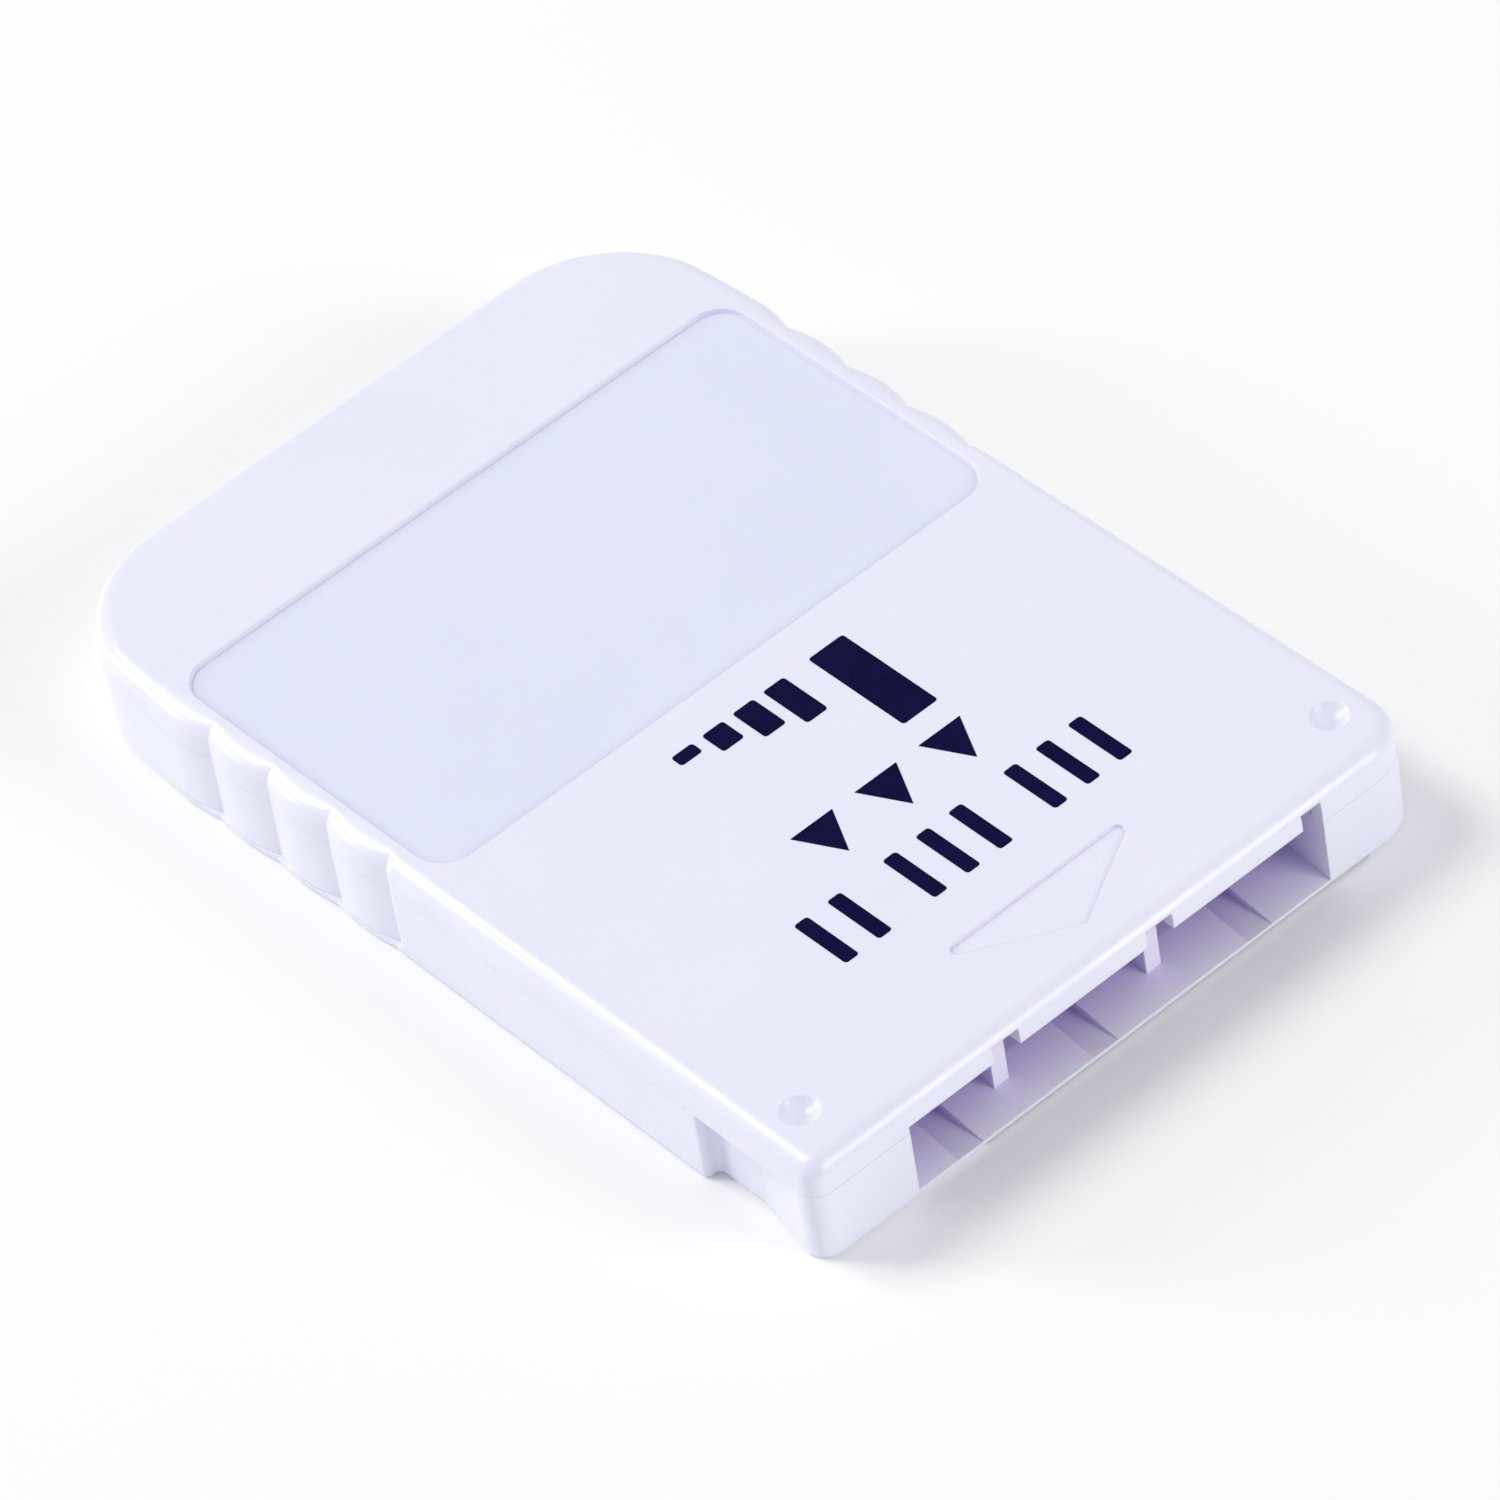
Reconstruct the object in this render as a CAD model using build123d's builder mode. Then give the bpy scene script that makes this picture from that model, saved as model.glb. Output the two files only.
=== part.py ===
"""A console memory card: a two-part moulded case round a circuit board with eight contacts.

Millimetres, +Z up. The origin is at the middle of the underside, the connector end points to -Y
and the grip end to +Y.
"""

import os

from build123d import *

# Case
card_length = 64.0
card_width = 43.5
card_height = 6.8
parting_height = 4.65
shell_step = 0.02
wall = 2.2
floor = 1.0
top_plate = 0.85
nose_corner_left = 1.2
nose_corner_right = 3.2
grip_corner = 8.3
top_edge_round = 1.1
bottom_edge_chamfer = 0.2
fit_clearance = 0.1
rim_thickness = 0.6
rim_height = 0.8

# Finger grips, a row of shallow scallops in each long side, shallower along the foot
grip_count = 4
grip_pitch = 4.95
grip_width = 5.1
grip_depth = 0.58
grip_foot_depth = 0.28
grip_foot_height = 0.5
grip_end_taper = 0.9
grip_gap = 9.9
crest_round = 2.2
grip_end_round = 6.0

# Key notches in the lower shell, one in each long side
key_gap = 9.1
key_length = 3.7
key_depth = 0.9
key_ramp_left = 4.0
key_ramp_right = 1.4
key_round = 0.4

# Label recess, arrow and two dimples in the top face
label_width = 40.0
label_length = 22.45
label_gap = 10.6
label_corner = 2.1
label_depth = 0.25
label_wall_angle = 25.0
arrow_width = 14.8
arrow_length = 4.2
arrow_gap = 2.4
arrow_corner = 0.45
arrow_depth = 0.15
arrow_wall_angle = 25.0
dimple_diameter = 2.2
dimple_depth = 0.55
dimple_side_gap = 2.8
dimple_front_gap = 3.8

# Connector mouth
mouth_width = 29.6
mouth_center = -0.3
bay_depth = 9.0
bay_wall = 1.0
bulkhead_thickness = 1.0
sill_height = 0.42
ramp_length = 3.4
channel_width = 1.75
channel_length = 5.5
divider_thickness = 1.05
divider_setback = 2.1
lip_thickness = 0.9
lip_height = 5.1
lip_notch_width = 1.85
lip_notch_height = 6.12
lip_notch_shift = 0.85
end_notch_width = 1.4
pocket_wall = 1.2
nose_relief_left = 10.4
nose_relief_width = 27.8
nose_relief_length = 6.0
nose_relief_depth = 0.2

# Circuit board and contacts
board_side_gap = 0.55
board_length = 40.0
board_thickness = 0.8
board_setback = 1.6
board_corner = 1.0
bay_contact_counts = (2, 3, 3)
contact_end_margin = 0.2
contact_width = 2.0
contact_thickness = 0.05
contact_setback = 0.5
contact_end_gap = 0.4
peg_inset = 3.2
post_diameter = 3.2
peg_diameter = 1.6

# Case screw
screw_gap = 9.0
screw_diameter = 2.0
screw_head_diameter = 3.6
screw_head_height = 1.3
screw_head_chamfer = 0.3
screw_socket_depth = 0.6
screw_socket_width = 0.5
screw_length = 4.2
counterbore_depth = 1.6
screw_hole_gap = 0.1
boss_wall = 1.0
boss_joint = 3.0

# Components under the board
lead_width = 0.32
lead_thickness = 0.15
lead_pitch = 0.8
lead_reach = 0.9
lead_foot = 0.45
chip_standoff = 0.1
chip_edge = 0.15
controller_side = 8.0
controller_height = 1.4
controller_lead_count = 7
memory_width = 5.4
memory_length = 10.6
memory_height = 1.5
memory_lead_count = 9
resonator_size = (7.0, 2.6, 1.3)
diode_size = (2.7, 1.6, 1.0)
capacitor_size = (2.0, 1.25, 0.9)
resistor_size = (2.0, 1.25, 0.5)
terminal_length = 0.4
terminal_skin = 0.04
passive_pitch = 3.4
capacitor_count = 3
resistor_count = 4

# Derived places
front = -card_length / 2
rear = card_length / 2
side = card_width / 2
plate_underside = card_height - top_plate
board_underside = plate_underside - board_thickness
board_width = card_width - 2 * (wall + board_side_gap)
board_front = front + board_setback
board_rear = board_front + board_length
tray_front = front + bay_depth + bulkhead_thickness
key_rear = front + key_gap
cavity_inset = wall - rim_thickness - fit_clearance
lip_back = front + shell_step + lip_thickness
mouth_left = mouth_center - mouth_width / 2
mouth_right = mouth_center + mouth_width / 2
screw_y = rear - screw_gap
boss_radius = screw_diameter / 2 + boss_wall
collar_radius = screw_head_diameter / 2 + screw_hole_gap + boss_wall

contact_count = sum(bay_contact_counts)
contact_pitch = (mouth_width - 2 * contact_end_margin) / contact_count
contact_places = [(i - (contact_count - 1) / 2) * contact_pitch for i in range(contact_count)]
divider_after = [sum(bay_contact_counts[: i + 1]) for i in range(len(bay_contact_counts) - 1)]
divider_places = [(contact_places[i - 1] + contact_places[i]) / 2 for i in divider_after]
bay_lefts = [mouth_left] + [x + divider_thickness / 2 for x in divider_places]
bay_rights = [x - divider_thickness / 2 for x in divider_places] + [mouth_right]
bay_centers = [(left + right) / 2 for left, right in zip(bay_lefts, bay_rights)]
peg_x = board_width / 2 - peg_inset
peg_places = [(-peg_x, board_rear - peg_inset), (peg_x, board_rear - peg_inset)]


def card_outline(inset, depth):
    """Plan of the card drawn in by inset all round, with grips of that depth."""
    radius = ((grip_width / 2) ** 2 + depth**2) / (2 * depth)
    grip_x = side + radius - depth
    grip_places = [rear - grip_gap - (i + 0.5) * grip_pitch for i in range(grip_count)]
    grip_middle = rear - grip_gap - grip_count / 2 * grip_pitch
    inner_reach = (grip_count / 2 - 0.5) * grip_pitch
    outer_reach = (grip_count / 2 + 0.1) * grip_pitch
    edge = side - inset
    with BuildSketch() as plan:
        Rectangle(card_width - 2 * inset, card_length - 2 * inset)
        fillet(plan.vertices().group_by(Axis.Y)[0].sort_by(Axis.X)[0], nose_corner_left - inset)
        fillet(plan.vertices().group_by(Axis.Y)[0].sort_by(Axis.X)[-1], nose_corner_right - inset)
        for hand in (-1, 1):
            with BuildLine():
                Polyline(
                    (hand * edge, grip_places[0]),
                    (hand * edge, rear),
                    (hand * (edge - grip_end_taper), rear),
                    close=True,
                )
            make_face(mode=Mode.SUBTRACT)
        fillet(plan.vertices().group_by(Axis.Y)[-1], grip_corner - inset)
        with Locations(*[(x, y) for x in (-grip_x, grip_x) for y in grip_places]):
            Circle(radius + inset, mode=Mode.SUBTRACT)
        crests = plan.vertices().filter_by(lambda v: -outer_reach < v.Y - grip_middle < inner_reach)
        fillet(crests, crest_round)
        ends = plan.vertices().filter_by(lambda v: inner_reach < v.Y - grip_middle < outer_reach)
        fillet(ends, grip_end_round)
    return plan.sketch


def tray_outline(inset, near_end):
    """Plan of a hollow that follows the grip end at inset and stops square at near_end."""
    far_end = rear - inset
    with BuildSketch() as plan:
        with Locations((0, (near_end + far_end) / 2)):
            Rectangle(card_width - 2 * inset, far_end - near_end)
        fillet(plan.vertices().group_by(Axis.Y)[-1], grip_corner - inset)
    return plan.sketch


def hang(component, x, y):
    """The component turned over and set against the underside of the board at x, y."""
    with BuildPart() as hung:
        with Locations(Plane(origin=(x, y, board_underside), x_dir=(1, 0, 0), z_dir=(0, 0, -1))):
            add(component)
    return hung.part


def write(part, name):
    part.label = name
    export_step(part, f"parts/{name}.step")


os.makedirs("parts", exist_ok=True)

# Top shell
arrow_base = front + arrow_gap + arrow_length
dimple_radius = ((dimple_diameter / 2) ** 2 + dimple_depth**2) / (2 * dimple_depth)
dimple_x = side - dimple_side_gap
dimple_y = front + dimple_front_gap
lip_notch_places = [x - lip_notch_shift for x in divider_places]
with BuildPart() as top_shell:
    with BuildSketch(Plane.XY.offset(parting_height)):
        add(card_outline(shell_step, grip_depth))
    extrude(amount=card_height - parting_height)
    fillet(top_shell.faces().sort_by(Axis.Z)[-1].edges(), top_edge_round)

    with BuildSketch(Plane.XY.offset(card_height)):
        with Locations((0, rear - label_gap - label_length / 2)):
            RectangleRounded(label_width, label_length, label_corner)
    extrude(amount=-label_depth, taper=label_wall_angle, mode=Mode.SUBTRACT)

    with BuildSketch(Plane.XY.offset(card_height)) as arrow:
        with BuildLine():
            Polyline(
                (-arrow_width / 2, arrow_base),
                (0, front + arrow_gap),
                (arrow_width / 2, arrow_base),
                close=True,
            )
        make_face()
        fillet(arrow.vertices(), arrow_corner)
    extrude(amount=-arrow_depth, taper=arrow_wall_angle, mode=Mode.SUBTRACT)

    dimple_z = card_height + dimple_radius - dimple_depth
    with Locations((-dimple_x, dimple_y, dimple_z), (dimple_x, dimple_y, dimple_z)):
        Sphere(dimple_radius, mode=Mode.SUBTRACT)

    with BuildSketch(Plane.XY.offset(parting_height)):
        add(tray_outline(cavity_inset, lip_back))
    extrude(amount=plate_underside - parting_height, mode=Mode.SUBTRACT)

    with BuildSketch(Plane.XZ.offset(-lip_back)) as lip_cut:
        with Locations((mouth_center, (parting_height + lip_height) / 2)):
            Rectangle(mouth_width, lip_height - parting_height)
        for x in lip_notch_places:
            with Locations((x, (parting_height + lip_notch_height) / 2)):
                Rectangle(lip_notch_width, lip_notch_height - parting_height)
        with Locations((mouth_right - end_notch_width / 2, (parting_height + lip_notch_height) / 2)):
            Rectangle(end_notch_width, lip_notch_height - parting_height)
    extrude(amount=shell_step + lip_thickness, mode=Mode.SUBTRACT)

    with BuildSketch(Plane.XY.offset(boss_joint)):
        with Locations((0, screw_y)):
            Circle(boss_radius)
    extrude(amount=plate_underside - boss_joint)
    with BuildSketch(Plane.XY.offset(boss_joint)):
        with Locations((0, screw_y)):
            Circle(screw_diameter / 2 + fit_clearance / 4)
    extrude(amount=counterbore_depth + screw_length - boss_joint + fit_clearance, mode=Mode.SUBTRACT)

# Bottom shell
key_reach = side - key_depth - pocket_wall
with BuildPart() as bottom_shell:
    with BuildSketch():
        add(card_outline(0, grip_foot_depth))
    extrude(amount=grip_foot_height)
    with BuildSketch(Plane.XY.offset(grip_foot_height)):
        add(card_outline(0, grip_depth))
    extrude(amount=parting_height - grip_foot_height)
    with BuildSketch():
        for hand, ramp in ((-1, key_ramp_left), (1, key_ramp_right)):
            with BuildLine():
                Polyline(
                    (hand * side, key_rear),
                    (hand * (side - key_depth), key_rear),
                    (hand * (side - key_depth), key_rear - key_length),
                    (hand * side, key_rear - key_length - ramp),
                    close=True,
                )
            make_face()
    extrude(amount=parting_height, mode=Mode.SUBTRACT)
    upright = bottom_shell.edges().filter_by(Axis.Z)
    fillet(upright.filter_by(lambda e: abs(e.center().Y - key_rear) < key_round), key_round)
    chamfer(bottom_shell.faces().sort_by(Axis.Z)[0].edges(), bottom_edge_chamfer)
    with BuildSketch():
        with Locations((nose_relief_width / 2 - nose_relief_left, front + nose_relief_length / 2)):
            Rectangle(nose_relief_width, nose_relief_length)
    extrude(amount=nose_relief_depth, mode=Mode.SUBTRACT)

    with BuildSketch(Plane.XY.offset(floor)):
        add(tray_outline(wall, tray_front))
    extrude(amount=parting_height - floor, mode=Mode.SUBTRACT)

    with BuildSketch(Plane.XY.offset(parting_height)):
        add(tray_outline(wall - rim_thickness, tray_front))
        add(tray_outline(wall, tray_front), mode=Mode.SUBTRACT)
    extrude(amount=rim_height)

    with BuildSketch(Plane.YZ.offset(mouth_left)):
        with BuildLine():
            Polyline(
                (front, sill_height),
                (front + ramp_length, floor),
                (front + bay_depth, floor),
                (front + bay_depth, parting_height),
                (front, parting_height),
                close=True,
            )
        make_face()
    extrude(amount=mouth_width, mode=Mode.SUBTRACT)

    with BuildSketch(Plane.XY.offset(sill_height)):
        with Locations(*[(x, front + channel_length / 2) for x in bay_centers]):
            Rectangle(channel_width, channel_length)
    extrude(amount=floor - sill_height, mode=Mode.SUBTRACT)

    with BuildSketch(Plane.XY.offset(floor)):
        for inner, outer in ((mouth_right + bay_wall, key_reach), (mouth_left - bay_wall, -key_reach)):
            with Locations(((inner + outer) / 2, front + (pocket_wall + bay_depth) / 2)):
                Rectangle(abs(outer - inner), bay_depth - pocket_wall)
    extrude(amount=parting_height - floor, mode=Mode.SUBTRACT)

    with BuildSketch(Plane.XY.offset(sill_height)):
        with Locations(*[(x, front + (divider_setback + bay_depth) / 2) for x in divider_places]):
            Rectangle(divider_thickness, bay_depth - divider_setback)
    extrude(amount=board_underside - sill_height)

    with BuildSketch(Plane.XY.offset(floor)):
        with Locations((mouth_center, front + bay_depth + bulkhead_thickness / 2)):
            Rectangle(mouth_width + 2 * bay_wall, bulkhead_thickness)
        cheek_front = lip_back + fit_clearance
        for x in (mouth_left - bay_wall / 2, mouth_right + bay_wall / 2):
            with Locations((x, (cheek_front + tray_front) / 2)):
                Rectangle(bay_wall, tray_front - cheek_front)
    extrude(amount=board_underside - floor)

    with BuildSketch(Plane.XY.offset(floor)):
        with Locations(*peg_places):
            Circle(post_diameter / 2)
    extrude(amount=board_underside - floor)
    with BuildSketch(Plane.XY.offset(board_underside)):
        with Locations(*peg_places):
            Circle(peg_diameter / 2)
    extrude(amount=board_thickness - fit_clearance)

    with BuildSketch(Plane.XY.offset(floor)):
        with Locations((0, screw_y)):
            Circle(collar_radius)
    extrude(amount=boss_joint - floor)
    with Locations(Location((0, screw_y, 0), (180, 0, 0))):
        CounterBoreHole(
            radius=screw_diameter / 2 + screw_hole_gap,
            counter_bore_radius=screw_head_diameter / 2 + screw_hole_gap,
            counter_bore_depth=counterbore_depth,
            depth=boss_joint,
        )

# Case screw, driven from the underside
with BuildPart() as case_screw:
    with BuildSketch(Plane.XZ) as half_section:
        with BuildLine():
            Polyline(
                (0, 0),
                (screw_head_diameter / 2, 0),
                (screw_head_diameter / 2, screw_head_height),
                (screw_diameter / 2, screw_head_height),
                (screw_diameter / 2, screw_head_height + screw_length - screw_diameter / 2),
                (0, screw_head_height + screw_length),
                close=True,
            )
        make_face()
    revolve(axis=Axis.Z)
    chamfer(case_screw.edges().filter_by(GeomType.CIRCLE).sort_by(Axis.Z)[0], screw_head_chamfer)
    with BuildSketch():
        Rectangle(screw_diameter, screw_socket_width)
        Rectangle(screw_socket_width, screw_diameter)
    extrude(amount=screw_socket_depth, mode=Mode.SUBTRACT)
with BuildPart() as placed_screw:
    with Locations((0, screw_y, counterbore_depth - screw_head_height)):
        add(case_screw.part)

# Circuit board, held by two pegs and clamped under the top plate
with BuildPart() as circuit_board:
    with BuildSketch(Plane.XY.offset(board_underside)):
        with Locations((0, (board_front + board_rear) / 2)):
            RectangleRounded(board_width, board_length, board_corner)
        with Locations(*peg_places):
            Circle(peg_diameter / 2 + fit_clearance, mode=Mode.SUBTRACT)
    extrude(amount=board_thickness)

# Contacts, gold pads on the underside of the board
contact_front = board_front + contact_setback
contact_rear = front + bay_depth - contact_end_gap
for number, x in enumerate(contact_places, start=1):
    with BuildPart() as contact:
        with BuildSketch(Plane.XY.offset(board_underside - contact_thickness)):
            with Locations((x, (contact_front + contact_rear) / 2)):
                Rectangle(contact_width, contact_rear - contact_front)
        extrude(amount=contact_thickness)
    write(contact.part, f"contact_{number}")


def gull_lead(body_height):
    """One bent lead that leaves a chip at x = 0, half way up, and ends in a foot on z = 0."""
    middle = chip_standoff + body_height / 2
    knee = lead_reach - lead_foot
    with BuildPart() as lead:
        with BuildSketch(Plane.XZ):
            with BuildLine():
                Polyline(
                    (-chip_edge, middle),
                    (knee - lead_thickness, middle),
                    (knee - lead_thickness, 0),
                    (lead_reach, 0),
                    (lead_reach, lead_thickness),
                    (knee, lead_thickness),
                    (knee, middle + lead_thickness),
                    (-chip_edge, middle + lead_thickness),
                    close=True,
                )
            make_face()
        extrude(amount=lead_width / 2, both=True)
    return lead.part


def gull_chip(size, leads, turns):
    """A moulded chip with a row of leads on each side that the turns name."""
    width, length, height = size
    lead = gull_lead(height)
    with BuildPart() as chip:
        with BuildSketch(Plane.XY.offset(chip_standoff)):
            Rectangle(width, length)
        extrude(amount=height)
        chamfer(chip.faces().sort_by(Axis.Z)[-1].edges(), chip_edge)
        for turn in turns:
            half = width / 2 if turn % 180 == 0 else length / 2
            for i in range(leads):
                along = (i - (leads - 1) / 2) * lead_pitch
                with Locations(Rotation(0, 0, turn) * Location((half, along, 0))):
                    add(lead)
    return chip.part


def two_terminal(size):
    """A moulded part with a metal cap at each end."""
    length, width, height = size
    skin = 2 * terminal_skin
    with BuildPart() as body:
        with BuildSketch(Plane.XY):
            with Locations((-(length - terminal_length) / 2, 0), ((length - terminal_length) / 2, 0)):
                Rectangle(terminal_length, width)
        extrude(amount=height)
        with BuildSketch(Plane.XY.offset(terminal_skin)):
            Rectangle(length - skin, width - skin)
        extrude(amount=height - skin)
    return body.part


# Components on the underside of the board, set out about the middle of the tray's part of it
parts_y = (tray_front + board_rear) / 2
chip_x = board_width / 4
controller_size = (controller_side, controller_side, controller_height)
memory_size = (memory_width, memory_length, memory_height)
controller = gull_chip(controller_size, controller_lead_count, turns=(0, 90, 180, 270))
memory = gull_chip(memory_size, memory_lead_count, turns=(0, 180))
write(hang(controller, -chip_x, parts_y), "controller_chip")
write(hang(memory, chip_x, parts_y), "memory_chip")
write(hang(two_terminal(resonator_size), -chip_x, parts_y + controller_side), "resonator")
write(hang(two_terminal(diode_size), chip_x, parts_y + controller_side), "diode")
capacitor = two_terminal(capacitor_size)
resistor = two_terminal(resistor_size)
passive_y = parts_y - controller_side
passive_count = capacitor_count + resistor_count
passive_places = [(i - (passive_count - 1) / 2) * passive_pitch for i in range(passive_count)]
for number, x in enumerate(passive_places[:capacitor_count], start=1):
    write(hang(capacitor, x, passive_y), f"capacitor_{number}")
for number, x in enumerate(passive_places[capacitor_count:], start=1):
    write(hang(resistor, x, passive_y), f"resistor_{number}")

write(top_shell.part, "top_shell")
write(bottom_shell.part, "bottom_shell")
write(placed_screw.part, "case_screw")
write(circuit_board.part, "circuit_board")
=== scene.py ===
"""Looks of the console memory card: materials, the printed marks, the stage, the light and the camera.

Metres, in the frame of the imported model: +Z up, the connector end points to -Y.
"""

import math

import bmesh
import bpy
from mathutils import Matrix, Vector


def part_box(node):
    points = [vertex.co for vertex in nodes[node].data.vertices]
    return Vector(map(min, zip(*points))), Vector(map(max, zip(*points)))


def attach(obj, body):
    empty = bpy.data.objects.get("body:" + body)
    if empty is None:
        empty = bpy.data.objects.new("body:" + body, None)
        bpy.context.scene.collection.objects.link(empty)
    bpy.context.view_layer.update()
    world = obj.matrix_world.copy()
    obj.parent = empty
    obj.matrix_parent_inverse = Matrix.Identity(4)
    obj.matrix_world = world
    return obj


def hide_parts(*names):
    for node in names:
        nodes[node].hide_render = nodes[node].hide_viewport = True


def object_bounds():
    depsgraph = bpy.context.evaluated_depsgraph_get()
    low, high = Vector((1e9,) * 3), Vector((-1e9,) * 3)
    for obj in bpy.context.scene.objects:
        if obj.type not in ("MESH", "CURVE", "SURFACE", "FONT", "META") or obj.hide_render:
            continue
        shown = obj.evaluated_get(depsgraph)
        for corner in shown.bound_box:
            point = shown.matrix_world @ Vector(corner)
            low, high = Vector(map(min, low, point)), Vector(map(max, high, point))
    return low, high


MM = 0.001

# Camera, solved from the straight edges of the card
CAMERA_PLACE = (-230.897 * MM, -332.922 * MM, 388.298 * MM)
CAMERA_AZIMUTH = -34.928
CAMERA_ELEVATION = 43.783
CAMERA_ROLL = -10.11
CAMERA_LENS = 249.7
CAMERA_SENSOR = 36.0

# Finish of the case, and how far the painted shade in its creases and connector mouth reaches
LABEL_DEPTH = 0.25 * MM
EDGE_SOFTNESS = 0.12 * MM
SEAM_HEIGHT = 4.65 * MM
CREASE_REACH = 0.6 * MM
MOUTH_REACH = 15.2 * MM
MOUTH_START = 0.3 * MM
MOUTH_DEEP = 6.5 * MM
MOUTH_END = 10.0 * MM
MOUTH_FLOOR = 0.3 * MM
RECESS_DEPTH = 0.6 * MM

# Sides of the case and the ribs of the finger grips, in millimetres
CASE_SIDE = 21.75
CASE_TOP = 6.8
SEAM_STEP = 0.02
TOP_ROUND = 1.1
FOOT_CHAMFER = 0.2
FOOT_TOP = 0.5
RIB_REAR = 19.625
RIB_PITCH = 4.95
RIB_CREST = 0.03
RIB_VALLEY = 0.45
RIB_FOOT_SHARE = 0.45
RIB_FRONT = 0.4
LAST_VALLEY = RIB_REAR - 3.5 * RIB_PITCH
REAR_TAPER = 0.0727
GRIP_END = 23.5
GRIP_SKIN = 0.62
FLAT_AREA = 8.0 * MM * MM
EDGE_TURN = math.radians(9.5)
VALLEY_TURN = math.radians(30)
RIB_CUTS = [LAST_VALLEY + i * RIB_PITCH for i in range(4)] + [RIB_FRONT, 0.9, 1.4]

# Printed marks on the top face, in millimetres
INK_THICKNESS = 0.015
INK_CORNER = 0.2
PAD_GROUPS = (2, 3, 3)
PAD_WIDTH = 0.95
PAD_PITCH = 2.35
PAD_GROUP_GAP = 1.6
PAD_ROW = (-22.2, -18.1)
POINTER_COUNT = 3
POINTER_WIDTH = 3.0
POINTER_PITCH = 4.6
POINTER_ROW = (-16.2, -13.2)
BAR_COLUMN = (3.7, 6.2)
BAR_ROW = (-11.4, -3.8)
STEP_COUNT = 4
STEP_PITCH = 2.2
STEP_WIDTH = 1.5
STEP_START = 1.9
STEP_ROW = (-7.4, -3.8)

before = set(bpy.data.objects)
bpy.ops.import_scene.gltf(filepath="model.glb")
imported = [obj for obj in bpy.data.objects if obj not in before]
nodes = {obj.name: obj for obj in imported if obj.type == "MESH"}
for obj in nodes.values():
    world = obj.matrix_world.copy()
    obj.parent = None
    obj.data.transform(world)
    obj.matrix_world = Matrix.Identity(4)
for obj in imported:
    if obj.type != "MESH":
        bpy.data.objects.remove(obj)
cad_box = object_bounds()
top_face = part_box("top_shell")[1].z


def new_material(name):
    """A new material with its node tree and its Principled shader."""
    material = bpy.data.materials.new(name)
    material.use_nodes = True
    tree = material.node_tree
    return material, tree, tree.nodes["Principled BSDF"]


def add_node(tree, kind, **inputs):
    """A node of that kind, with its inputs set from constants or linked from sockets."""
    node = tree.nodes.new(kind)
    for name, value in inputs.items():
        socket = node.inputs[name.replace("_", " ")]
        if isinstance(value, bpy.types.NodeSocket):
            tree.links.new(value, socket)
        else:
            socket.default_value = value
    return node


def noise(tree, scale, detail=3.0):
    """Noise over the object's own coordinates, about 0.3 to 0.7."""
    place = add_node(tree, "ShaderNodeTexCoord").outputs["Object"]
    return add_node(tree, "ShaderNodeTexNoise", Vector=place, Scale=scale, Detail=detail).outputs["Fac"]


def map_value(tree, factor, low, high, start=0.3, end=0.7):
    """The factor's range from start to end spread from low to high."""
    node = add_node(tree, "ShaderNodeMapRange", Value=factor, To_Min=low, To_Max=high)
    node.inputs["From Min"].default_value = start
    node.inputs["From Max"].default_value = end
    return node.outputs["Result"]


def shelter(tree, reach, start, end):
    """0 where the surface is open and 1 where nearby walls close it in."""
    node = add_node(tree, "ShaderNodeAmbientOcclusion", Distance=reach)
    node.samples = 16
    return map_value(tree, node.outputs["AO"], 1.0, 0.0, start, end)


def mix_colour(tree, factor, first, second):
    """A colour that goes from first to second with the factor."""
    node = tree.nodes.new("ShaderNodeMix")
    node.data_type = "RGBA"
    for socket, value in zip((node.inputs[0], node.inputs[6], node.inputs[7]), (factor, first, second)):
        if isinstance(value, bpy.types.NodeSocket):
            tree.links.new(value, socket)
        else:
            socket.default_value = value
    return node.outputs[2]


def mix_vector(tree, factor, first, second):
    """A vector that goes from first to second with the factor."""
    node = tree.nodes.new("ShaderNodeMix")
    node.data_type = "VECTOR"
    for socket, value in zip((node.inputs[0], node.inputs[4], node.inputs[5]), (factor, first, second)):
        tree.links.new(value, socket)
    return node.outputs[1]


def math_node(tree, operation, first, second):
    node = tree.nodes.new("ShaderNodeMath")
    node.operation = operation
    for socket, value in zip(node.inputs, (first, second)):
        if isinstance(value, bpy.types.NodeSocket):
            tree.links.new(value, socket)
        else:
            socket.default_value = value
    return node.outputs[0]


def seam_mask(tree):
    """1 along the seam between the two shells, and 0 elsewhere."""
    place = add_node(tree, "ShaderNodeTexCoord").outputs["Object"]
    height = add_node(tree, "ShaderNodeSeparateXYZ", Vector=place).outputs["Z"]
    offset = math_node(tree, "ABSOLUTE", math_node(tree, "SUBTRACT", height, SEAM_HEIGHT), 0.0)
    return math_node(tree, "LESS_THAN", offset, 2 * EDGE_SOFTNESS)


def surface(tree, shader, colour, rough, grain_scale, grain_depth, edge=0.0):
    """Colour, roughness that drifts between two values, a fine grain and softened edges."""
    tree.links.new(colour, shader.inputs["Base Color"])
    drift = map_value(tree, noise(tree, grain_scale / 12), rough[0], rough[1])
    tree.links.new(drift, shader.inputs["Roughness"])
    grain = noise(tree, grain_scale, 2.0)
    bump = add_node(tree, "ShaderNodeBump", Height=grain, Strength=1.0, Distance=grain_depth)
    if edge > 0.0:
        soft = add_node(tree, "ShaderNodeBevel", Radius=edge)
        soft.samples = 8
        plain = add_node(tree, "ShaderNodeNewGeometry").outputs["Normal"]
        normal = mix_vector(tree, seam_mask(tree), soft.outputs["Normal"], plain)
        tree.links.new(normal, bump.inputs["Normal"])
    tree.links.new(bump.outputs["Normal"], shader.inputs["Normal"])


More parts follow.
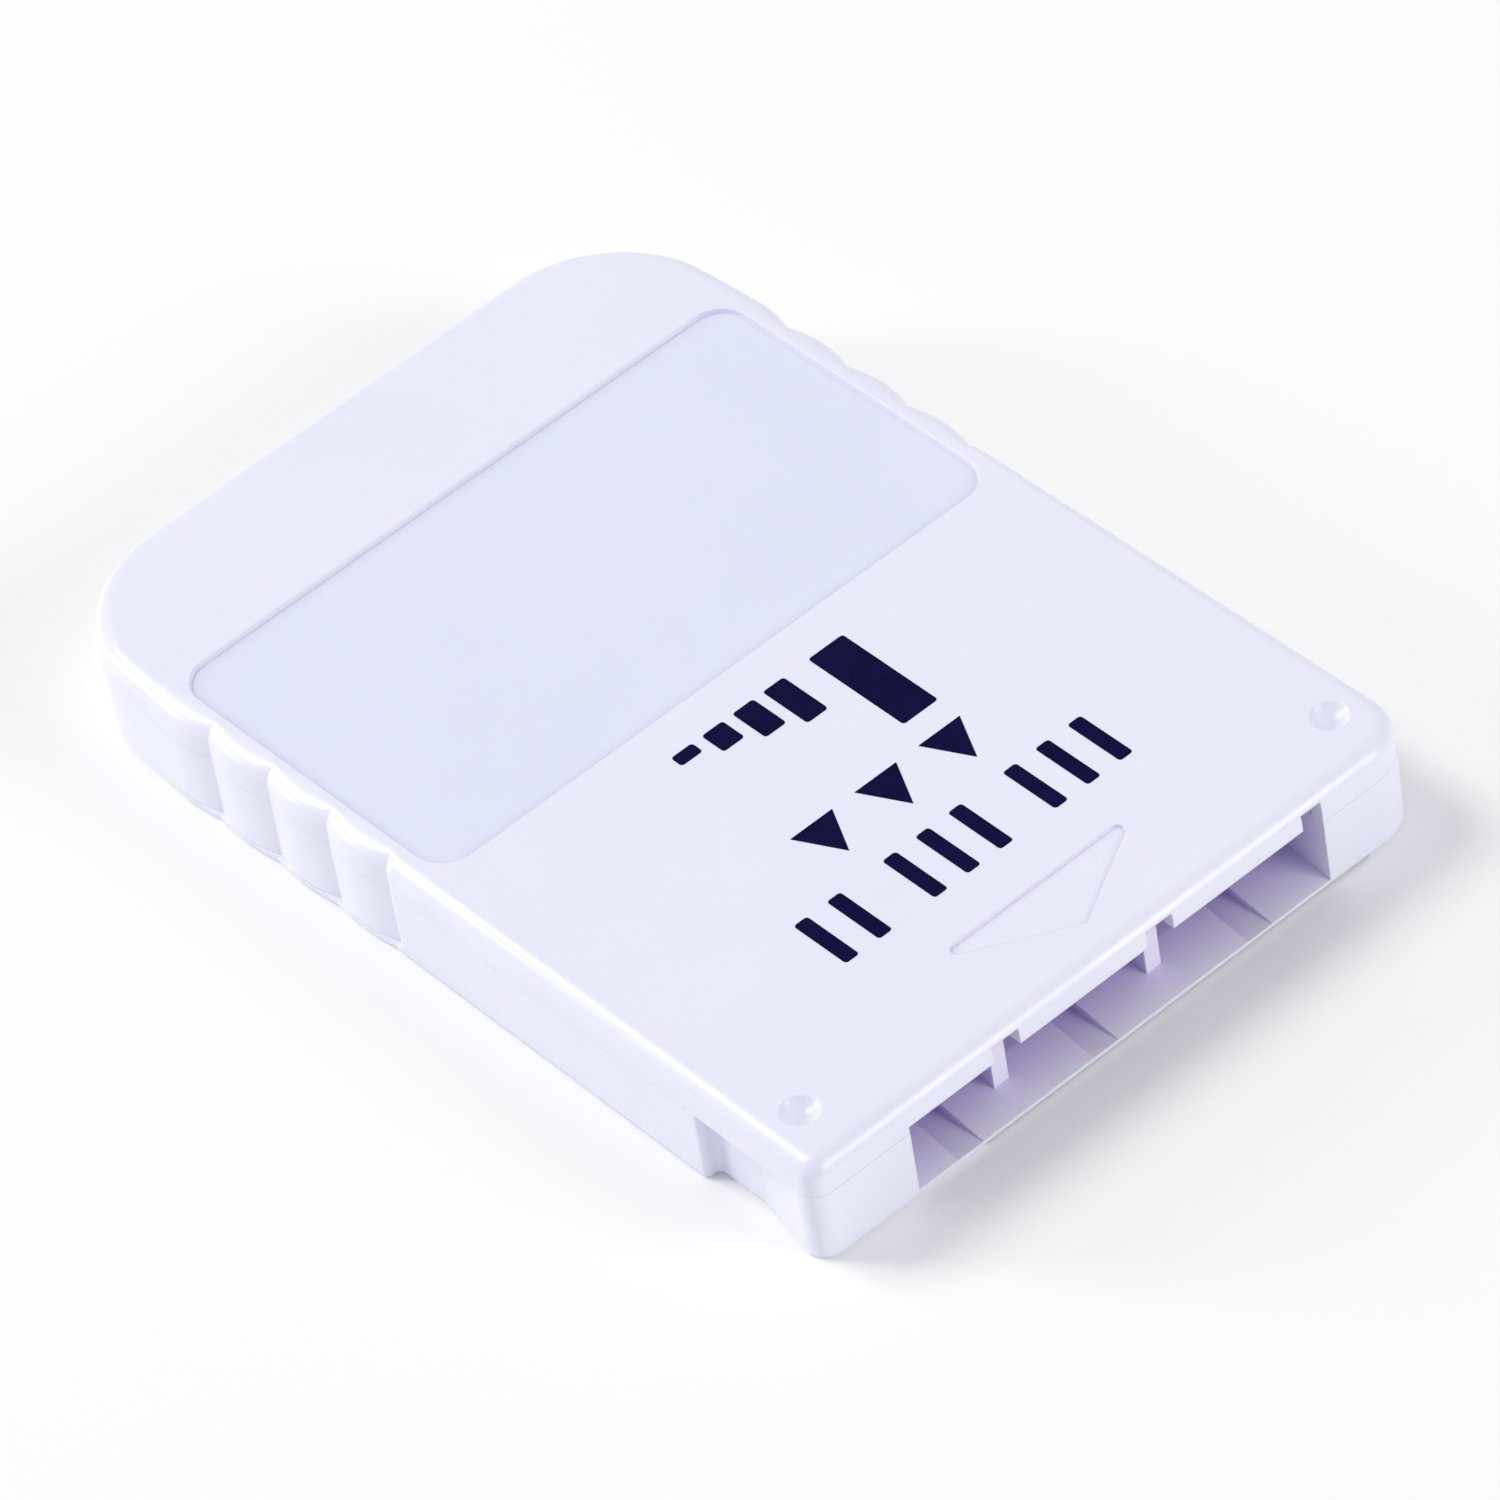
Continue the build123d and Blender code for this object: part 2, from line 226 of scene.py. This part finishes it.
def floor_mask(tree, depth):
    """1 on a flat floor at that depth under the top face, and 0 elsewhere."""
    geometry = add_node(tree, "ShaderNodeNewGeometry")
    place = add_node(tree, "ShaderNodeTexCoord").outputs["Object"]
    height = add_node(tree, "ShaderNodeSeparateXYZ", Vector=place).outputs["Z"]
    facing = add_node(tree, "ShaderNodeSeparateXYZ", Vector=geometry.outputs["Normal"]).outputs["Z"]
    offset = math_node(tree, "ABSOLUTE", math_node(tree, "SUBTRACT", height, top_face - depth), 0.0)
    level = math_node(tree, "LESS_THAN", offset, 0.03 * MM)
    flat = math_node(tree, "GREATER_THAN", facing, 0.98)
    return math_node(tree, "MULTIPLY", level, flat)


def face_mask(tree):
    """1 at the height of the top face's recesses, and 0 lower down."""
    place = add_node(tree, "ShaderNodeTexCoord").outputs["Object"]
    height = add_node(tree, "ShaderNodeSeparateXYZ", Vector=place).outputs["Z"]
    return math_node(tree, "GREATER_THAN", height, top_face - RECESS_DEPTH)


def mouth_mask(tree):
    """1 inside the connector mouth, behind its front edges, and 0 elsewhere."""
    place = add_node(tree, "ShaderNodeTexCoord").outputs["Object"]
    split = add_node(tree, "ShaderNodeSeparateXYZ", Vector=place)
    across = math_node(tree, "ABSOLUTE", split.outputs["X"], 0.0)
    mask = math_node(tree, "LESS_THAN", across, MOUTH_REACH)
    for test, place, limit in (("GREATER_THAN", split.outputs["Y"], cad_box[0].y + MOUTH_START),
                               ("LESS_THAN", split.outputs["Y"], cad_box[0].y + MOUTH_END),
                               ("GREATER_THAN", split.outputs["Z"], MOUTH_FLOOR),
                               ("LESS_THAN", split.outputs["Z"], top_face - RECESS_DEPTH)):
        mask = math_node(tree, "MULTIPLY", mask, math_node(tree, test, place, limit))
    return mask


def mouth_depth(tree):
    """How much painted shade the connector mouth gets: 0 at its front edges and on what faces out of it,
    and 1 deep inside.
    """
    place = add_node(tree, "ShaderNodeTexCoord").outputs["Object"]
    inward = add_node(tree, "ShaderNodeSeparateXYZ", Vector=place).outputs["Y"]
    depth = map_value(tree, inward, 0.0, 1.0, cad_box[0].y + MOUTH_START, cad_box[0].y + MOUTH_DEEP)
    normal = add_node(tree, "ShaderNodeNewGeometry").outputs["Normal"]
    facing = add_node(tree, "ShaderNodeSeparateXYZ", Vector=normal).outputs["Y"]
    return math_node(tree, "MULTIPLY", depth, math_node(tree, "GREATER_THAN", facing, -0.7))


def case_plastic():
    """Lavender-white moulded plastic with a satin face and a smoother, cooler label floor, with painted
    shade in the top face's creases and painted shade deepening into the connector mouth.
    """
    material, tree, shader = new_material("case_plastic")
    drift = map_value(tree, noise(tree, 90.0), 0.0, 1.0)
    body = mix_colour(tree, drift, (0.815, 0.828, 0.975, 1.0), (0.84, 0.85, 0.985, 1.0))
    cool = mix_colour(tree, drift, (0.755, 0.785, 0.955, 1.0), (0.775, 0.805, 0.965, 1.0))
    plain = mix_colour(tree, floor_mask(tree, LABEL_DEPTH), body, cool)
    # painted shade: the plastic inside the connector mouth darkens to deep purple towards the back, where
    # shade falls
    mouth_painted_shade = mix_colour(tree, mouth_depth(tree), (0.86, 0.82, 1.0, 1.0), (0.36, 0.25, 0.84, 1.0))
    with_mouth_shade = mix_colour(tree, mouth_mask(tree), plain, mouth_painted_shade)
    # painted shade: darker purple in the label, arrow and dimple recesses and other creases of the top
    # face, where nearby walls close them in
    crease_painted_shade = math_node(tree, "MULTIPLY", face_mask(tree), shelter(tree, CREASE_REACH, 0.45, 0.92))
    colour = mix_colour(tree, crease_painted_shade, with_mouth_shade, (0.63, 0.59, 0.84, 1.0))
    surface(tree, shader, colour, (0.28, 0.36), 3200.0, 0.002 * MM, EDGE_SOFTNESS)
    shader.inputs["Specular IOR Level"].default_value = 0.7
    shader.inputs["Subsurface Weight"].default_value = 0.15
    shader.inputs["Subsurface Radius"].default_value = (1.0, 0.6, 0.9)
    shader.inputs["Subsurface Scale"].default_value = 0.3 * MM
    return material


def printed_ink():
    """Navy pad-printed ink, slightly uneven."""
    material, tree, shader = new_material("printed_ink")
    drift = map_value(tree, noise(tree, 900.0), 0.0, 1.0)
    colour = mix_colour(tree, drift, (0.003, 0.002, 0.036, 1.0), (0.005, 0.003, 0.048, 1.0))
    surface(tree, shader, colour, (0.5, 0.6), 3000.0, 0.0004 * MM)
    shader.inputs["Specular IOR Level"].default_value = 0.05
    return material


def circuit_laminate():
    """Tan paper laminate, with darker tracks under the varnish."""
    material, tree, shader = new_material("circuit_laminate")
    place = add_node(tree, "ShaderNodeTexCoord").outputs["Object"]
    tracks = add_node(tree, "ShaderNodeTexBrick", Vector=place, Scale=420.0, Mortar_Size=0.03)
    tracks.inputs["Color1"].default_value = (0.60, 0.54, 0.47, 1.0)
    tracks.inputs["Color2"].default_value = (0.63, 0.57, 0.50, 1.0)
    tracks.inputs["Mortar"].default_value = (0.46, 0.40, 0.33, 1.0)
    surface(tree, shader, tracks.outputs["Color"], (0.3, 0.42), 5000.0, 0.01 * MM)
    return material


def metal(name, dark, light, rough):
    """Bare metal with a faint drift of tone and rub marks."""
    material, tree, shader = new_material(name)
    colour = mix_colour(tree, map_value(tree, noise(tree, 700.0), 0.0, 1.0), dark, light)
    surface(tree, shader, colour, rough, 6000.0, 0.004 * MM)
    shader.inputs["Metallic"].default_value = 1.0
    return material


def moulded(name, dark, light, rough):
    """A component's moulded or fired body, with a fine grain."""
    material, tree, shader = new_material(name)
    colour = mix_colour(tree, map_value(tree, noise(tree, 1500.0), 0.0, 1.0), dark, light)
    surface(tree, shader, colour, rough, 7000.0, 0.01 * MM)
    return material


def stage_white():
    """A pale seamless sheet."""
    material, tree, shader = new_material("stage_white")
    drift = map_value(tree, noise(tree, 6.0), 0.0, 1.0)
    colour = mix_colour(tree, drift, (0.955, 0.955, 0.955, 1.0), (0.965, 0.965, 0.965, 1.0))
    surface(tree, shader, colour, (0.8, 0.9), 400.0, 0.002 * MM)
    shader.inputs["Specular IOR Level"].default_value = 0.1
    return material


def rounded_box(x_range, y_range, corner):
    """Corner-rounded rectangle as a loop of points, counter-clockwise."""
    steps = 4
    loop = []
    corners = ((x_range[1], y_range[0], -90), (x_range[1], y_range[1], 0))
    corners += ((x_range[0], y_range[1], 90), (x_range[0], y_range[0], 180))
    for x, y, start in corners:
        centre_x = x - corner if x == x_range[1] else x + corner
        centre_y = y - corner if y == y_range[1] else y + corner
        for i in range(steps + 1):
            angle = math.radians(start + 90 * i / steps)
            loop.append((centre_x + corner * math.cos(angle), centre_y + corner * math.sin(angle)))
    return loop


def add_loop(sheet, points):
    """The points as vertices on the top face."""
    return [sheet.verts.new((x * MM, y * MM, top_face)) for x, y in points]


def add_box(sheet, x_range, y_range):
    """A solid box with rounded corners."""
    sheet.faces.new(add_loop(sheet, rounded_box(x_range, y_range, INK_CORNER)))


def printed_marks():
    """A row of contact bars, pointers to the connector end, a bar and steps, as one thin layer of ink."""
    sheet = bmesh.new()
    pads = []
    x = 0.0
    for group in PAD_GROUPS:
        for _ in range(group):
            pads.append(x)
            x += PAD_PITCH
        x += PAD_GROUP_GAP
    middle = (pads[0] + pads[-1]) / 2
    for pad in pads:
        add_box(sheet, (pad - middle - PAD_WIDTH / 2, pad - middle + PAD_WIDTH / 2), PAD_ROW)
    for i in range(POINTER_COUNT):
        x = (i - (POINTER_COUNT - 1) / 2) * POINTER_PITCH
        base = POINTER_ROW[1]
        points = [(x - POINTER_WIDTH / 2, base), (x, POINTER_ROW[0]), (x + POINTER_WIDTH / 2, base)]
        sheet.faces.new(add_loop(sheet, points))
    add_box(sheet, BAR_COLUMN, BAR_ROW)
    for i in range(STEP_COUNT):
        right = STEP_START - i * STEP_PITCH
        low = STEP_ROW[1] - (STEP_ROW[1] - STEP_ROW[0]) * (STEP_COUNT - i) / STEP_COUNT
        add_box(sheet, (right - STEP_WIDTH, right), (low, STEP_ROW[1]))
    mesh = bpy.data.meshes.new("printed_marks")
    sheet.to_mesh(mesh)
    sheet.free()
    marks = bpy.data.objects.new("printed_marks", mesh)
    bpy.context.scene.collection.objects.link(marks)
    layer = marks.modifiers.new("layer", "SOLIDIFY")
    layer.thickness = INK_THICKNESS * MM
    layer.offset = 1.0
    return marks


def rib_depth(y):
    """How far a grip's rib lies inside the straight side at y."""
    if y > RIB_REAR:
        return RIB_CREST * (GRIP_END - y) / (GRIP_END - RIB_REAR)
    if y < LAST_VALLEY:
        share = max(y - RIB_FRONT, 0.0) / (LAST_VALLEY - RIB_FRONT)
        return (RIB_CREST + RIB_VALLEY) * share**2
    half = RIB_PITCH / 2
    share = abs((y - RIB_REAR + half) % RIB_PITCH - half) / half
    return RIB_CREST + RIB_VALLEY * share**2


def edge_offset(z):
    """How far the top round and the bottom chamfer lie inside the wall at height z."""
    rise = max(z - (CASE_TOP - TOP_ROUND), 0.0)
    return TOP_ROUND - math.sqrt(max(TOP_ROUND**2 - rise**2, 0.0)) + max(FOOT_CHAMFER - z, 0.0)


def on_grip(vert, step):
    """Whether the vertex is on the outer skin of a finger grip."""
    x, y, z = vert.co / MM
    depth = CASE_SIDE - step - abs(x) - edge_offset(z)
    return depth < GRIP_SKIN and RIB_FRONT - 2 * RIB_PITCH < y < GRIP_END and abs(x) > CASE_SIDE - 1.71


def on_foot(vert):
    """Whether the vertex is on the low foot under the wall."""
    if vert.co.z < (FOOT_TOP - 0.01) * MM:
        return True
    below = [edge.other_vert(vert).co for edge in vert.link_edges]
    flat = vert.co.xy
    return vert.co.z < (FOOT_TOP + 0.01) * MM and any(
        place.z < vert.co.z - 0.1 * MM and (place.xy - flat).length < 0.001 * MM for place in below)


def ribbed_shell(name, step, material):
    """A copy of a shell whose finger grips are convex ribs with sharp valleys, in the node's place."""
    sheet = bmesh.new()
    sheet.from_mesh(nodes[name].data)
    for edge in sheet.edges:
        edge.smooth = not edge.is_boundary
    bmesh.ops.remove_doubles(sheet, verts=sheet.verts, dist=0.0001 * MM)
    joins = [edge for edge in sheet.edges if any(on_grip(vert, step) for vert in edge.verts)]
    joins = [edge for edge in joins if min(vert.co.z for vert in edge.verts) < top_face - TOP_ROUND * MM]
    bmesh.ops.dissolve_limit(sheet, angle_limit=math.radians(0.05), verts=[], edges=joins)
    for y in RIB_CUTS:
        skin = [face for face in sheet.faces if all(on_grip(vert, step) for vert in face.verts)]
        skin = [face for face in skin if abs(face.normal.z) < 0.99]
        edges = {edge for face in skin for edge in face.edges}
        verts = {vert for face in skin for vert in face.verts}
        bmesh.ops.bisect_plane(sheet, geom=[*verts, *edges, *skin], dist=0.001 * MM,
                               plane_co=(0, y * MM, 0), plane_no=(0, 1, 0))
    moved = {}
    for vert in sheet.verts:
        if on_grip(vert, step) and vert.co.y > RIB_FRONT * MM:
            x, y, z = vert.co / MM
            depth = rib_depth(y) * (RIB_FOOT_SHARE if on_foot(vert) else 1.0)
            depth += max(y - RIB_REAR, 0.0) * REAR_TAPER
            offset = edge_offset(z)
            share = 1.0 - min(offset / TOP_ROUND, 1.0) ** 2
            reach = CASE_SIDE - step - depth - offset
            moved[vert] = math.copysign(abs(x) + share * (reach - abs(x)), x) * MM
    for vert, x in moved.items():
        vert.co.x = x
    sheet.normal_update()
    for edge in sheet.edges:
        turn = edge.calc_face_angle(0.0)
        edge.smooth = turn < (VALLEY_TURN if edge.smooth else EDGE_TURN)
    mesh = bpy.data.meshes.new(name + "_ribbed")
    sheet.to_mesh(mesh)
    sheet.free()
    mesh.attributes.remove(mesh.attributes["custom_normal"])
    mesh.polygons.foreach_set("use_smooth", [True] * len(mesh.polygons))
    normals = [corner.vector.copy() for corner in mesh.corner_normals]
    for face in mesh.polygons:
        if face.area > FLAT_AREA or abs(face.normal.z) > 0.9999:
            for corner in face.loop_indices:
                normals[corner] = face.normal
    mesh.normals_split_custom_set(normals)
    mesh.materials.append(material)
    shell = bpy.data.objects.new(name + "_ribbed", mesh)
    bpy.context.scene.collection.objects.link(shell)
    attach(shell, "root")
    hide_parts(name)


def dress(material, names):
    """The material on every CAD node whose name starts with one of the names."""
    for name, node in nodes.items():
        if name.startswith(names):
            node.data.materials.clear()
            node.data.materials.append(material)


def area_light(name, place, size, power):
    """A square soft light that faces the card."""
    light = bpy.data.lights.new(name, "AREA")
    light.size = size
    light.energy = power
    light.color = (1.02, 1.01, 0.89)
    lamp = bpy.data.objects.new(name, light)
    lamp.location = place
    lamp.rotation_euler = Vector(place).to_track_quat("Z", "Y").to_euler()
    bpy.context.scene.collection.objects.link(lamp)


plastic = case_plastic()
ribbed_shell("top_shell", SEAM_STEP, plastic)
ribbed_shell("bottom_shell", 0.0, plastic)
dress(circuit_laminate(), ("circuit_board",))
dress(metal("contact_gold", (0.80, 0.66, 0.40, 1.0), (0.88, 0.76, 0.52, 1.0), (0.2, 0.34)), ("contact_",))
dress(metal("screw_steel", (0.42, 0.43, 0.45, 1.0), (0.58, 0.58, 0.59, 1.0), (0.26, 0.42)), ("case_screw",))
black = (0.012, 0.012, 0.014, 1.0)
dark_grey = (0.022, 0.022, 0.024, 1.0)
chips = ("controller_chip", "memory_chip", "diode", "resistor_")
dress(moulded("chip_epoxy", black, dark_grey, (0.5, 0.62)), chips)
tan = (0.36, 0.25, 0.15, 1.0)
pale_tan = (0.45, 0.33, 0.21, 1.0)
dress(moulded("ceramic", tan, pale_tan, (0.45, 0.55)), ("capacitor_", "resonator"))

marks = printed_marks()
marks.data.materials.append(printed_ink())
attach(marks, "root")

floor_mesh = bpy.data.meshes.new("stage_floor")
reach = 3.0
corners = [(-reach, -reach, 0), (reach, -reach, 0), (reach, reach, 0), (-reach, reach, 0)]
floor_mesh.from_pydata(corners, [], [(0, 1, 2, 3)])
stage_floor = bpy.data.objects.new("stage_floor", floor_mesh)
stage_floor.data.materials.append(stage_white())
bpy.context.scene.collection.objects.link(stage_floor)

scene = bpy.context.scene
world = bpy.data.worlds.new("studio")
world.use_nodes = True
world.node_tree.nodes["Background"].inputs["Color"].default_value = (0.955, 0.955, 1.08, 1.0)
world.node_tree.nodes["Background"].inputs["Strength"].default_value = 0.52
scene.world = world
area_light("key", (-0.3, 0.62, 0.85), 0.45, 4.9)
area_light("left_fill", (-0.72, 0.9, 0.35), 0.3, 3.6)
area_light("front_fill", (0.44, -0.9, 0.45), 0.5, 4.2)

azimuth = math.radians(CAMERA_AZIMUTH)
elevation = math.radians(CAMERA_ELEVATION)
roll = math.radians(CAMERA_ROLL)
level = math.cos(elevation)
back = Vector((math.sin(azimuth) * level, -math.cos(azimuth) * level, math.sin(elevation)))
across = Vector((math.cos(azimuth), math.sin(azimuth), 0))
right = across * math.cos(roll) + back.cross(across) * math.sin(roll)
lens = bpy.data.cameras.new("camera")
lens.lens = CAMERA_LENS
lens.sensor_width = CAMERA_SENSOR
camera = bpy.data.objects.new("camera", lens)
turn = Matrix((right, back.cross(right), back)).transposed().to_4x4()
camera.matrix_world = Matrix.Translation(CAMERA_PLACE) @ turn
scene.collection.objects.link(camera)
scene.camera = camera
scene.view_settings.view_transform = "Standard"
